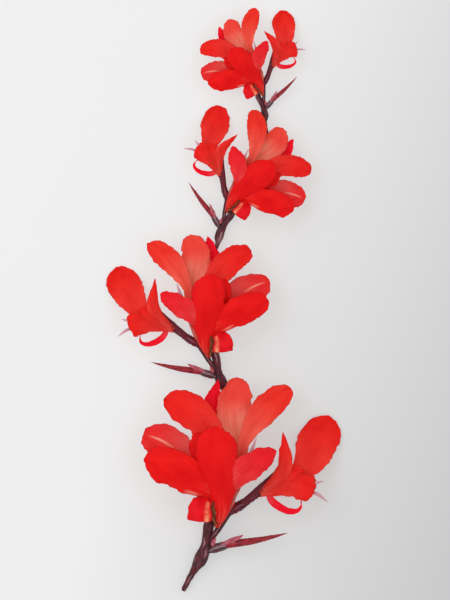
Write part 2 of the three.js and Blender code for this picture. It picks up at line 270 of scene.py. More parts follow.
MATERIALS = {
    "scarlet": petal_tissue("scarlet_petal_tissue", "F01818", "DC0E12", "F7806A"),
    # The pale streaks on the left petal's lower edge, near the throat, are painted highlights on its
    # creases.
    "scarlet_with_painted_highlight_streaks": petal_tissue(
        "scarlet_tissue_with_painted_highlight_streaks",
        "F01A17",
        "DA0C10",
        "F7806A",
        mark_and_highlight={"middle": 0.13, "reach": 0.09, "low": 0.16, "high": 0.4, "colour": "FBB8A0"},
    ),
    "rose": petal_tissue("rose_petal_tissue", "EC222C", "DC1822", "F07874", 0.6, far_veins=0.02, flush=0.1),
    "poppy": petal_tissue("poppy_petal_tissue", "EC271F", "DC1816", "F99A86", far_veins=0.03, flush=0.08),
    "salmon": petal_tissue("salmon_petal_tissue", "EC372B", "DE261E", "FAA488", far_veins=0.04, flush=0.28),
    # The pale band on the left rear petal is a painted highlight, where the petal bends in a fold.
    "salmon_with_painted_fold_highlight": petal_tissue(
        "salmon_tissue_with_painted_fold_highlight",
        "EA3430",
        "DA2228",
        "FAA098",
        far_veins=0.06,
        flush=0.3,
        mark_and_highlight={"middle": 0.55, "reach": 0.045, "low": 0.15, "high": 0.95, "colour": "FFC0A8"},
    ),
    # The coral petal's strong pale flush is partly its own paler base, partly painted light that lifts the
    # shade it lies in, low between the front and upper left petals.
    "coral": petal_tissue(
        "coral_petal_tissue",
        "EE4A3E",
        "E23E34",
        "FFC4A4",
        0.8,
        far_veins=0.04,
        flush=0.62,
    ),
    "crimson": petal_tissue("crimson_petal_tissue", "F4142C", "E80E26", "F898A0"),
    "tube": petal_tissue("orange_red_tube_tissue", "EC2E22", "B8161A", "F29A78", 1.0, far_veins=0.5),
    "blush": petal_tissue("blush_sepal_tissue", "C4606E", "98404E", "E2B0B8", 0.9, far_veins=0.4),
    "dusky": petal_tissue("dusky_sepal_tissue", "A8605A", "7E3C38", "C8A090", 0.9, far_veins=0.4),
    "bronze": petal_tissue("bronze_sepal_tissue", "8A4A2C", "4C1616", "B88A54", 0.9, far_veins=0.3),
    "lip": petal_tissue(
        "lip_petal_tissue",
        "EE1A24",
        "D20E1C",
        "F7A060",
        mark_and_highlight={"middle": 0.2, "reach": 0.14, "low": 0.3, "high": 1.05, "colour": "FFC890"},
    ),
    "lilac": petal_tissue("pale_style_tissue", "DDACB8", "C08E9A", "ECD0D8"),
}
print("petal materials:", sorted(MATERIALS))

# %% [markdown]
# ## Stem and bud skin
#
# The stem, the ovaries and the bracts are smooth green tissue flushed with maroon, under a bloom of
# grey wax that rubs off in long patches. The colour changes lengthwise, in streaks, and the wax is
# rougher than the skin below it.


# %% Stem material
def waxy_skin(name, body, wax, dark, wax_share):
    """Maroon skin with lengthwise patches of grey wax: a larger `wax_share` shows more of it."""
    material = bpy.data.materials.new(name)
    material.use_nodes = True
    tree = material.node_tree
    shader = tree.nodes["Principled BSDF"]
    uv = add(tree, "ShaderNodeUVMap", uv_map="UVMap")
    # V is in millimetres along the stem, and U goes once round it.
    long_patch = add(tree, "ShaderNodeMapping", [uv, None, None, (7, 0.1, 1)])
    patch = add(tree, "ShaderNodeTexNoise", {"Vector": long_patch, "Scale": 1.0, "Detail": 4.0})
    waxed = add(tree, "ShaderNodeMapRange", [patch, 0.62 - wax_share, 0.72 - wax_share / 2, 0, 1])
    stripe = add(tree, "ShaderNodeMapping", [uv, None, None, (14, 0.3, 1)])
    fibre = add(tree, "ShaderNodeTexNoise", {"Vector": stripe, "Scale": 1.0, "Detail": 2.0})
    fibred = add(tree, "ShaderNodeMapRange", [fibre, 0.35, 0.65, 0, 1])
    under = add(tree, "ShaderNodeMix", data_type="RGBA")
    tree.links.new(fibred.outputs[0], under.inputs[0])
    under.inputs[6].default_value = linear(dark)
    under.inputs[7].default_value = linear(body)
    over = add(tree, "ShaderNodeMix", data_type="RGBA")
    tree.links.new(waxed.outputs[0], over.inputs[0])
    tree.links.new(under.outputs[2], over.inputs[6])
    over.inputs[7].default_value = linear(wax)
    tree.links.new(over.outputs[2], shader.inputs["Base Color"])
    dull = add(tree, "ShaderNodeMapRange", [patch, 0.3, 0.7, 0.42, 0.68])
    tree.links.new(dull.outputs[0], shader.inputs["Roughness"])
    rib = add(tree, "ShaderNodeBump", {"Strength": 0.35, "Distance": 0.0004, "Height": fibre})
    tree.links.new(rib.outputs[0], shader.inputs["Normal"])
    shader.inputs["IOR"].default_value = 1.42
    shader.inputs["Specular IOR Level"].default_value = 0.4
    return material


MATERIALS["stem"] = waxy_skin("waxy_maroon_stem_skin", "641C28", "A67C84", "2A0C12", 0.06)
MATERIALS["bud"] = waxy_skin("maroon_bud_skin", "A82030", "B85864", "6C0E1C", 0.02)
MATERIALS["ovary"] = waxy_skin("grey_warted_ovary_skin", "64303A", "947E84", "32161C", 0.12)
MATERIALS["bract"] = waxy_skin("pink_maroon_bract_skin", "78182A", "A8687C", "400E1A", 0.06)

# %% [markdown]
# ## A petal's shape, as one geometry tree
#
# Every petal follows the same rule: a spine runs from the claw to the tip, the width opens from the claw
# and closes in a round or pointed tip, and the section bends into a shallow cup. The rim is ruffled.
# It could be sculpted once and copied, but a rule with named inputs gives every petal its own form.
# The tree lays a flat grid along the spine twice, as a front and a back skin, a little apart in the
# middle and joined at the rim, so each petal is one closed sheet.

# %% The tree's inputs
PETAL_INPUTS = {
    "Start": ("NodeSocketVector", (0, 0, 0)),
    "Start Handle": ("NodeSocketVector", (0, 1, 0)),
    "End Handle": ("NodeSocketVector", (0, 2, 0)),
    "End": ("NodeSocketVector", (0, 3, 0)),
    "Level": ("NodeSocketVector", (1, 0, 0)),  # the level direction across the petal
    "Width": ("NodeSocketFloat", 20.0),
    "Claw Width": ("NodeSocketFloat", 6.0),
    "Widest At": ("NodeSocketFloat", 0.6),
    "Opening Power": ("NodeSocketFloat", 1.4),  # a larger one keeps the claw narrow for longer
    "Tip Power": ("NodeSocketFloat", 0.5),  # 0.5 is round, 1 and above is pointed
    "Cup At Claw": ("NodeSocketFloat", 0.5),  # radians round the section
    "Cup At Tip": ("NodeSocketFloat", 0.3),
    "Roll At Claw": ("NodeSocketFloat", 0.0),
    "Roll At Tip": ("NodeSocketFloat", 0.0),
    "Thickness": ("NodeSocketFloat", 0.5),
    "Ruffle": ("NodeSocketFloat", 0.8),  # how far the rim waves, in millimetres
    "Uneven": ("NodeSocketFloat", 0.22),  # how much the outline swells and narrows
    "Ragged": ("NodeSocketFloat", 2.3),  # how far the rim is nibbled, in millimetres
    "Seed": ("NodeSocketFloat", 0.0),
    "Rows": ("NodeSocketInt", 64),
    "Columns": ("NodeSocketInt", 33),
    "Material": ("NodeSocketMaterial", None),
}


def new_tree(name, sockets):
    """An empty geometry tree with the named inputs and one geometry output."""
    tree = bpy.data.node_groups.new(name, "GeometryNodeTree")
    for label, (kind, default) in sockets.items():
        socket = tree.interface.new_socket(label, in_out="INPUT", socket_type=kind)
        if default is not None:
            socket.default_value = default
    tree.interface.new_socket("Geometry", in_out="OUTPUT", socket_type="NodeSocketGeometry")
    return tree


# %% The petal tree
def petal_tree():
    """Builds the tree that turns the inputs above into one closed petal."""
    tree = new_tree("petal", PETAL_INPUTS)
    given = tree.nodes.new("NodeGroupInput").outputs
    grid = add(tree, "GeometryNodeMeshGrid", [2.0, 1.0, given["Columns"], given["Rows"]])
    place = add(tree, "ShaderNodeSeparateXYZ", [add(tree, "GeometryNodeInputPosition")])
    s = place.outputs[0]  # -1 to 1 across the petal
    lifted = add(tree, "ShaderNodeMath", [place.outputs[1], 0.5], operation="ADD")
    # Rows crowd towards the tip, where the outline turns fastest.
    angle = add(tree, "ShaderNodeMath", [lifted, math.pi / 2], operation="MULTIPLY")
    eased = add(tree, "ShaderNodeMath", [angle], operation="SINE")
    t = add(tree, "ShaderNodeMath", [eased, 0.9], operation="POWER")

    # The spine, and the two directions square to it.
    spine = add(
        tree,
        "GeometryNodeCurvePrimitiveBezierSegment",
        {k: given[k] for k in ("Start", "Start Handle", "End Handle", "End")} | {"Resolution": 48},
    )
    sample = add(tree, "GeometryNodeSampleCurve", {"Curves": spine, "Factor": t}, use_all_curves=True)
    middle, tangent = sample.outputs["Position"], sample.outputs["Tangent"]
    roll = add(tree, "ShaderNodeMapRange", [t, 0, 1, given["Roll At Claw"], given["Roll At Tip"]])
    cos_roll = add(tree, "ShaderNodeMath", [roll], operation="COSINE")
    sin_roll = add(tree, "ShaderNodeMath", [roll], operation="SINE")
    flat_part = add(tree, "ShaderNodeVectorMath", {0: given["Level"], "Scale": cos_roll}, operation="SCALE")
    rise = add(tree, "ShaderNodeCombineXYZ", [0, 0, sin_roll])
    rolled = add(tree, "ShaderNodeVectorMath", [flat_part, rise], operation="ADD")
    lean = add(tree, "ShaderNodeVectorMath", [rolled, tangent], operation="DOT_PRODUCT").outputs["Value"]
    spill = add(tree, "ShaderNodeVectorMath", {0: tangent, "Scale": lean}, operation="SCALE")
    square = add(tree, "ShaderNodeVectorMath", [rolled, spill], operation="SUBTRACT")
    side = add(tree, "ShaderNodeVectorMath", [square], operation="NORMALIZE")
    face = add(tree, "ShaderNodeVectorMath", [side, tangent], operation="CROSS_PRODUCT")

    # Half the width: a claw that opens, then a tip that closes.
    opening = add(tree, "ShaderNodeMapRange", [t, 0, given["Widest At"], 0, math.pi / 2])
    opened = add(tree, "ShaderNodeMath", [opening], operation="SINE")
    grown = add(tree, "ShaderNodeMath", [opened, given["Opening Power"]], operation="POWER")
    wide = add(tree, "ShaderNodeMapRange", [grown, 0, 1, given["Claw Width"], given["Width"]])
    closing = add(tree, "ShaderNodeMapRange", [t, given["Widest At"], 1, 0, 1])
    squared = add(tree, "ShaderNodeMath", [closing, closing], operation="MULTIPLY")
    left_over = add(tree, "ShaderNodeMath", [1.0, squared], operation="SUBTRACT")
    closed = add(tree, "ShaderNodeMath", [left_over, given["Tip Power"]], operation="POWER")
    full = add(tree, "ShaderNodeMath", [wide, closed], operation="MULTIPLY")

    # The outline is uneven, and not alike on the two sides.
    which = add(tree, "ShaderNodeMath", [s], operation="SIGN")
    edge_place = add(tree, "ShaderNodeCombineXYZ", [t, which, given["Seed"]])
    edge_noise = add(tree, "ShaderNodeTexNoise", {"Vector": edge_place, "Scale": 3.6, "Detail": 3.0})
    swelling = add(tree, "ShaderNodeMath", [edge_noise, 0.5], operation="SUBTRACT")
    scale = add(tree, "ShaderNodeMath", [swelling, given["Uneven"], 0.5], operation="MULTIPLY_ADD")
    half = add(tree, "ShaderNodeMath", [full, scale], operation="MULTIPLY")

    # The section is an arc that turns through the cup's angle.
    cup = add(tree, "ShaderNodeMapRange", [t, 0, 1, given["Cup At Claw"], given["Cup At Tip"]])
    half_cup = add(tree, "ShaderNodeMath", [cup, 0.5], operation="MULTIPLY")
    radius = add(tree, "ShaderNodeMath", [half, half_cup], operation="DIVIDE")
    turn = add(tree, "ShaderNodeMath", [s, half_cup], operation="MULTIPLY")
    cos_turn = add(tree, "ShaderNodeMath", [turn], operation="COSINE")
    sin_turn = add(tree, "ShaderNodeMath", [turn], operation="SINE")
    go_side = add(tree, "ShaderNodeMath", [radius, sin_turn], operation="MULTIPLY")
    flat_off = add(tree, "ShaderNodeMath", [1.0, cos_turn], operation="SUBTRACT")
    go_face = add(tree, "ShaderNodeMath", [radius, flat_off], operation="MULTIPLY")
    to_side = add(tree, "ShaderNodeVectorMath", {0: side, "Scale": go_side}, operation="SCALE")
    to_face = add(tree, "ShaderNodeVectorMath", {0: face, "Scale": go_face}, operation="SCALE")
    arc = add(tree, "ShaderNodeVectorMath", [to_side, to_face], operation="ADD")
    skin = add(tree, "ShaderNodeVectorMath", [middle, arc], operation="ADD")
    face_part = add(tree, "ShaderNodeVectorMath", {0: face, "Scale": cos_turn}, operation="SCALE")
    side_part = add(tree, "ShaderNodeVectorMath", {0: side, "Scale": sin_turn}, operation="SCALE")
    outward = add(tree, "ShaderNodeVectorMath", [face_part, side_part], operation="SUBTRACT")

    # Ruffles: waves that grow towards the rim and the tip, with slow swells over the whole petal.
    off_middle = add(tree, "ShaderNodeMath", [s], operation="ABSOLUTE")
    to_rim = add(tree, "ShaderNodeMath", [off_middle, 2.2], operation="POWER")
    to_tip = add(tree, "ShaderNodeMapRange", [t, 0.1, 0.75, 0.0, 1.0])
    rim_wave = add(tree, "ShaderNodeMath", [to_rim, to_tip], operation="MULTIPLY")
    swell_share = add(tree, "ShaderNodeMath", [to_tip, 0.35], operation="MULTIPLY")
    share = add(tree, "ShaderNodeMath", [rim_wave, swell_share], operation="ADD")
    wave_place = add(tree, "ShaderNodeCombineXYZ", [s, t, given["Seed"]])
    stretched = add(tree, "ShaderNodeVectorMath", [wave_place, (1.1, 3.2, 1.0)], operation="MULTIPLY")
    noise = add(tree, "ShaderNodeTexNoise", {"Vector": stretched, "Scale": 1.3, "Detail": 1.5})
    waving = add(tree, "ShaderNodeMapRange", [noise, 0.3, 0.7, -1, 1], clamp=False)
    height = add(tree, "ShaderNodeMath", [waving, given["Ruffle"]], operation="MULTIPLY")
    wave = add(tree, "ShaderNodeMath", [height, share], operation="MULTIPLY")
    wave_offset = add(tree, "ShaderNodeVectorMath", {0: outward, "Scale": wave}, operation="SCALE")
    ruffled = add(tree, "ShaderNodeVectorMath", [skin, wave_offset], operation="ADD")

    # The rim is nibbled: fine noise moves it every way, and fades within the last few millimetres.
    at_side = add(tree, "ShaderNodeMath", [off_middle, 7.0], operation="POWER")
    at_tip = add(tree, "ShaderNodeMapRange", [t, 0.93, 1.0, 0.0, 1.0])
    at_rim = add(tree, "ShaderNodeMath", [at_side, at_tip], operation="MAXIMUM")
    from_claw = add(tree, "ShaderNodeMapRange", [t, 0.15, 0.45, 0.0, 1.0])
    nibble_share = add(tree, "ShaderNodeMath", [at_rim, from_claw], operation="MULTIPLY")
    nibble = add(tree, "ShaderNodeMath", [nibble_share, given["Ragged"]], operation="MULTIPLY")
    own_place = add(tree, "ShaderNodeCombineXYZ", [given["Seed"], 0, given["Seed"]])
    fine_place = add(tree, "ShaderNodeVectorMath", [skin, own_place], operation="ADD")
    fine = add(tree, "ShaderNodeTexNoise", {"Vector": fine_place, "Scale": 0.36, "Detail": 3.0})
    grey = (0.5, 0.5, 0.5)
    every_way = add(tree, "ShaderNodeVectorMath", [fine.outputs["Color"], grey], operation="SUBTRACT")
    bite = add(tree, "ShaderNodeVectorMath", {0: every_way, "Scale": nibble}, operation="SCALE")
    ruffled = add(tree, "ShaderNodeVectorMath", [ruffled, bite], operation="ADD")

    # Half the thickness: full in the middle, nothing at the rim and at both ends.
    s_fourth = add(tree, "ShaderNodeMath", [off_middle, 4.0], operation="POWER")
    from_rim = add(tree, "ShaderNodeMath", [1.0, s_fourth], operation="SUBTRACT")
    claw_end = add(tree, "ShaderNodeMapRange", [place.outputs[1], -0.5, -0.44, 0, 1])
    tip_end = add(tree, "ShaderNodeMapRange", [place.outputs[1], 0.5, 0.4, 0, 1])
    ends = add(tree, "ShaderNodeMath", [claw_end, tip_end], operation="MULTIPLY")
    full_share = add(tree, "ShaderNodeMath", [from_rim, ends], operation="MULTIPLY")
    half_sheet = add(tree, "ShaderNodeMath", [given["Thickness"], 0.5], operation="MULTIPLY")
    thick = add(tree, "ShaderNodeMath", [half_sheet, full_share], operation="MULTIPLY")
    lift = add(tree, "ShaderNodeVectorMath", {0: outward, "Scale": thick}, operation="SCALE")

    # U across and V along, kept as the UV map before the grid is bent.
    u = add(tree, "ShaderNodeMath", [s, 0.5, 0.5], operation="MULTIPLY_ADD")
    uv = add(tree, "ShaderNodeCombineXYZ", [u, t, 0])
    mapped = add(
        tree,
        "GeometryNodeStoreNamedAttribute",
        {"Geometry": grid.outputs["Mesh"], "Name": "UVMap"},
        data_type="FLOAT2",
        domain="CORNER",
    )
    value = next(i for i in mapped.inputs if i.name == "Value" and i.enabled)
    tree.links.new(uv.outputs[0], value)

    skins = []
    for direction in ("ADD", "SUBTRACT"):
        moved = add(tree, "ShaderNodeVectorMath", [ruffled, lift], operation=direction)
        # What would sink into the floor lies on it.
        parts = add(tree, "ShaderNodeSeparateXYZ", [moved])
        rest = 0.0 if direction == "SUBTRACT" else 0.12
        pressed = add(tree, "ShaderNodeMath", [parts.outputs[2], rest], operation="MAXIMUM")
        spot = add(tree, "ShaderNodeCombineXYZ", [parts.outputs[0], parts.outputs[1], pressed])
        skins.append(add(tree, "GeometryNodeSetPosition", {"Geometry": mapped, "Position": spot}))
    back = add(tree, "GeometryNodeFlipFaces", [skins[1]])
    both = add(tree, "GeometryNodeJoinGeometry")
    tree.links.new(back.outputs[0], both.inputs[0])
    tree.links.new(skins[0].outputs[0], both.inputs[0])
    shut = add(tree, "GeometryNodeMergeByDistance", {"Geometry": both, "Distance": 0.003})
    smooth = add(tree, "GeometryNodeSetShadeSmooth", {"Geometry": shut})
    real = add(tree, "GeometryNodeRealizeInstances", [smooth])
    painted = add(tree, "GeometryNodeSetMaterial", {"Geometry": real, "Material": given["Material"]})
    add(tree, "NodeGroupOutput", [painted])
    return tree


PETAL_TREE = petal_tree()
print("petal tree:", len(PETAL_TREE.nodes), "nodes")


# %% Running a tree, and taking its result as a plain mesh
def grow(name, tree, values, matrix, carrier=None):
    """Runs `tree` with the named values and returns its mesh as an object in the row frame."""
    holder = bpy.data.objects.new(name, carrier or bpy.data.meshes.new(name))
    bpy.context.collection.objects.link(holder)
    modifier = holder.modifiers.new("grow", "NODES")
    modifier.node_group = tree
    sockets = {i.name: i.identifier for i in tree.interface.items_tree if i.in_out == "INPUT"}
    for label, value in values.items():
        modifier[sockets[label]] = value
    holder.update_tag()
    graph = bpy.context.evaluated_depsgraph_get()
    mesh = bpy.data.meshes.new_from_object(holder.evaluated_get(graph))
    holder.modifiers.remove(modifier)
    old = holder.data
    holder.data = mesh
    bpy.data.meshes.remove(old)
    mesh.transform(matrix)
    if matrix.determinant() < 0:
        mesh.flip_normals()
    mesh.name = name
    return holder


def handles(points):
    """The two handles of the cubic curve that passes through four points, evenly along it."""
    p0, p1, p2, p3 = (Vector(p) for p in points)
    first = p0 * (-5 / 6) + p1 * 3 - p2 * 1.5 + p3 / 3
    second = p0 / 3 - p1 * 1.5 + p2 * 3 - p3 * (5 / 6)
    return first, second


def petal(name, shape, matrix, seed=0.0):
    """One petal from its plain description, in its group's frame."""
    points = shape["spine"]
    first, second = handles(points)
    heading = Vector(points[3]) - Vector(points[0])
    level = Vector((heading.y, -heading.x, 0)).normalized()
    cup = [math.radians(a) for a in shape["cup"]]
    roll = [math.radians(a) for a in shape.get("roll", (0, 0))]
    values = {
        "Start": points[0],
        "Start Handle": tuple(first),
        "End Handle": tuple(second),
        "End": points[3],
        "Level": tuple(level),
        "Width": float(shape["width"]),
        "Claw Width": float(shape["claw"]),
        "Widest At": shape["widest"],
        "Opening Power": float(shape.get("opening", 1.4)),
        "Tip Power": float(shape["tip"]),
        "Cup At Claw": cup[0],
        "Cup At Tip": cup[1],
        "Roll At Claw": roll[0],
        "Roll At Tip": roll[1],
        "Thickness": shape.get("thickness", 0.5),
        "Ruffle": shape.get("ruffle", 0.8),
        "Uneven": shape.get("uneven", 0.22),
        "Ragged": shape.get("ragged", 2.3),
        "Seed": seed,
        "Rows": shape.get("rows", 80),
        "Columns": shape.get("columns", 33),
        "Material": MATERIALS[shape["finish"]],
    }
    return grow(name, PETAL_TREE, values, matrix)


# %% [markdown]
# ## The open flower
#
# Canna's showy petals are really stamens that have turned into petals. They stand round the tube's
# mouth in layers: a lip that curls down, three at the front and sides, one behind on the left, and
# three that rise behind. The true petals are small and pointed, and hide at the back.

# %% Petals of the open flower
OPEN_FLOWER = {
    "front_petal": {
        "spine": [(4.4, 13, 12), (5.6, 30.5, 25.4), (3.4, 48.5, 31.4), (2.9, 61.8, 29.5)],
        "width": 22.8, "claw": 4, "widest": 0.74, "opening": 0.95, "tip": 0.46, "cup": (-120, -60),
        "finish": "scarlet", "ruffle": 0.6,
    },
    "right_petal": {
        "spine": [(5, 29.5, 21), (14.4, 38.4, 27.5), (23.4, 44.4, 27.5), (32.7, 50, 24)],
        "width": 13.8, "claw": 8.5, "widest": 0.52, "tip": 0.6, "cup": (-60, -35), "roll": (-20, -5),
        "finish": "rose",
    },
    "left_petal": {
        "spine": [(4, 27, 19), (-8.6, 35, 27), (-21.2, 41.8, 28.5), (-32.4, 47, 23.5)],
        "width": 19.6, "claw": 10, "widest": 0.62, "tip": 0.45, "cup": (-80, -45), "roll": (20, 5),
        "finish": "scarlet_with_painted_highlight_streaks",
    },
    "left_rear_petal": {
        "spine": [(-1, 30, 15.5), (-10.5, 43, 15.5), (-21.5, 52, 15), (-33.6, 57.4, 12)],
        "width": 20.5, "claw": 10, "widest": 0.62, "tip": 0.45, "cup": (50, 45), "finish": "salmon_with_painted_fold_highlight",
    },
    "upper_left_petal": {
        "spine": [(3, 29, 17.5), (2.4, 51, 21), (-6.4, 66.8, 20), (-22.3, 76.2, 13)],
        "width": 16.8, "claw": 6, "widest": 0.7, "tip": 0.36, "cup": (50, 20), "finish": "poppy",
    },
    "upper_middle_petal": {
        "spine": [(10.5, 29, 14.5), (13.4, 50, 16), (11, 67.6, 14.6), (17.2, 84.6, 10.5)],
        "width": 17.8, "claw": 5, "widest": 0.74, "opening": 2.0, "tip": 0.46, "cup": (50, 20),
        "finish": "coral", "ragged": 3.2, "uneven": 0.3,
    },
    "upper_right_petal": {
        "spine": [(10, 29, 17.5), (15.4, 51, 20.4), (24, 66.6, 18.4), (40.3, 80.8, 12)],
        "width": 14.6, "claw": 3.2, "widest": 0.76, "opening": 4.6, "tip": 0.46, "cup": (40, 15),
        "finish": "salmon",
    },
    "lip": {
        "spine": [(-1, 27.4, 15), (-4, 24.6, 22.6), (-5.4, 20.2, 25.6), (-5.6, 14.6, 24)],
        "width": 12.4, "claw": 6, "widest": 0.9, "tip": 0.08, "cup": (-50, -25), "finish": "lip",
        "ruffle": 0.5, "ragged": 0.8,
    },
}

CORE = {
    "tube": {
        "spine": [(3, 10.8, 8), (5, 19.5, 12.8), (6.2, 27, 15.6), (6.7, 33.5, 17.8)],
        "width": 48, "claw": 8, "widest": 0.97, "tip": 0.1, "cup": (-345, -320), "finish": "tube",
        "thickness": 0.7, "ruffle": 0.3, "ragged": 1.0, "rows": 48, "columns": 65,
    },
    "pointed_petal": {
        "spine": [(5, 27, 9.6), (-1.4, 47, 10.5), (-0.6, 67, 11), (4, 85, 10.5)],
        "width": 8.6, "claw": 4, "widest": 0.74, "tip": 0.8, "cup": (40, 20), "finish": "crimson",
    },
    "outer_petal_right": {
        "spine": [(6.4, 16.4, 14.4), (9.4, 22, 18), (12.2, 28, 20.6), (14.5, 33.6, 20.8)],
        "width": 2.2, "claw": 1, "widest": 0.6, "tip": 0.9, "cup": (-70, -60), "finish": "dusky",
        "ragged": 0.8, "columns": 17,
    },
    "outer_petal_left": {
        "spine": [(2.8, 12.2, 11), (1.5, 16.5, 15.5), (1.2, 20.7, 19), (1.8, 24.8, 21)],
        "width": 3, "claw": 1.2, "widest": 0.5, "tip": 0.9, "cup": (-70, -60), "finish": "bronze",
        "ragged": 0.8, "columns": 17,
    },
    "back_petal": {
        "spine": [(1.5, 33, 19), (-3, 42, 23), (-5.6, 50, 24), (-6.2, 59, 22)],
        "width": 10, "claw": 5, "widest": 0.6, "tip": 0.6, "cup": (-40, -20), "finish": "scarlet",
    },
}

# %% [markdown]
# ## The side flower
#
# The second flower of each group is seen from the side. Its throat flares, one broad petal leans back
# until it rests on the floor, one stands like a horn, and the lip hangs as a thin curled ribbon.

# %% Petals of the side flower
SIDE_FLOWER = {
    "broad_petal": {
        "spine": [(40.5, 29, 12.5), (47.4, 41.8, 8.6), (54.2, 54.2, 1.2), (60.8, 65.8, 1.4)],
        "width": 21.4, "claw": 6.5, "widest": 0.66, "opening": 1.8, "tip": 0.44, "cup": (60, 30),
        "finish": "poppy", "ruffle": 0.5,
    },
    "horned_petal": {
        "spine": [(26, 29, 10), (35.9, 38.4, 15.8), (37.4, 48, 16.4), (36, 59.4, 15)],
        "width": 8.4, "claw": 3.4, "widest": 0.4, "opening": 0.9, "tip": 1.1, "cup": (-80, -40),
        "finish": "poppy", "ragged": 1.2, "uneven": 0.12,
    },
    "curled_petal": {
        "spine": [(29.4, 27.6, 9.5), (34.8, 21.2, 10), (43, 19.6, 11), (44.4, 27, 12.5)],
        "width": 4, "claw": 3.6, "widest": 0.2, "tip": 1.3, "cup": (40, 40), "finish": "crimson",
        "ruffle": 0.3, "ragged": 0.8, "columns": 17,
    },
}

SIDE_CORE = {
    "throat_upper": {
        "spine": [(23.8, 28, 8.4), (31.2, 31.8, 12.4), (38.8, 36, 15), (47, 40, 13.5)],
        "width": 12, "claw": 3.2, "widest": 0.7, "tip": 0.7, "cup": (-120, -60), "finish": "poppy",
        "thickness": 0.6, "ragged": 1.0,
    },
    "throat_lower": {
        "spine": [(24, 27.6, 8.2), (33.5, 30, 13), (43, 31.4, 16.6), (51.8, 29.8, 16)],
        "width": 14.4, "claw": 4, "widest": 0.9, "opening": 2.0, "tip": 0.2, "cup": (-150, -50),
        "finish": "poppy", "thickness": 0.6, "ragged": 2.6,
    },
}


# %% Make the petals of every group
def stand_in(piece, slot, *nodes):
    """Fixes a finished piece to the spray and hides the plain solids it stands for. Its `slot` is not used.
    """
    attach(piece, "root")
    if nodes:
        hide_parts(*nodes)


SLOTS = {
    "scarlet": "petal_scarlet",
    "poppy": "petal_scarlet",
    "tube": "petal_scarlet",
    "lip": "petal_scarlet",
    "salmon": "petal_coral",
    "salmon_with_painted_fold_highlight": "petal_coral",
    "coral": "petal_coral",
    "scarlet_with_painted_highlight_streaks": "petal_scarlet",
    "rose": "petal_scarlet",
    "dusky": "petal_crimson",
    "crimson": "petal_crimson",
    "blush": "petal_crimson",
    "bronze": "petal_crimson",
    "lilac": "petal_crimson",
    "bract": "bud_maroon",
}
faces = 0
for index in range(len(GROUPS)):
    matrix = group_matrix(index)
    label = f"cluster{index + 1}"
    for number, (part, shape) in enumerate(OPEN_FLOWER.items()):
        piece = petal(f"{label}_open_{part}_skin", shape, matrix, seed=3.7 * number + 11 * index)
        stand_in(piece, SLOTS[shape["finish"]], f"{label}_open_flower_{part}")
        faces += len(piece.data.polygons)
    for number, (part, shape) in enumerate(CORE.items()):
        piece = petal(f"{label}_open_{part}", shape, matrix, seed=5.3 * number + 7 * index)
        nodes = [f"{label}_open_flower_corolla"] if part == "tube" else []
        stand_in(piece, SLOTS[shape["finish"]], *nodes)
        faces += len(piece.data.polygons)
    for number, (part, shape) in enumerate(SIDE_FLOWER.items()):
        piece = petal(f"{label}_side_{part}_skin", shape, matrix, seed=2.9 * number + 13 * index)
        stand_in(piece, SLOTS[shape["finish"]], f"{label}_side_flower_{part}")
        faces += len(piece.data.polygons)
    for number, (part, shape) in enumerate(SIDE_CORE.items()):
        piece = petal(f"{label}_side_{part}", shape, matrix, seed=4.1 * number + 17 * index)
        nodes = [f"{label}_side_flower_tube"] if part == "throat_upper" else []
        stand_in(piece, SLOTS[shape["finish"]], *nodes)
        faces += len(piece.data.polygons)
print("petal faces:", faces)

# %% [markdown]
# ## Stems, ovaries and buds
#
# A stalk is a round section swept along a path, with its own thickness at each station. A tree turns a
# string of points into a smooth curve and sweeps it; noise gives it ribs and bumps.

# %% The stalk tree
STALK_INPUTS = {
    "Geometry": ("NodeSocketGeometry", None),
    "Step": ("NodeSocketFloat", 0.8),
    "Sides": ("NodeSocketInt", 24),
    "Ribs": ("NodeSocketFloat", 0.12),  # how high the ribs and bumps stand, in millimetres
    "Warts": ("NodeSocketFloat", 0.0),  # how many stand on each square millimetre
    "Wart Size": ("NodeSocketFloat", 0.3),  # radius in millimetres
    "Material": ("NodeSocketMaterial", None),
}


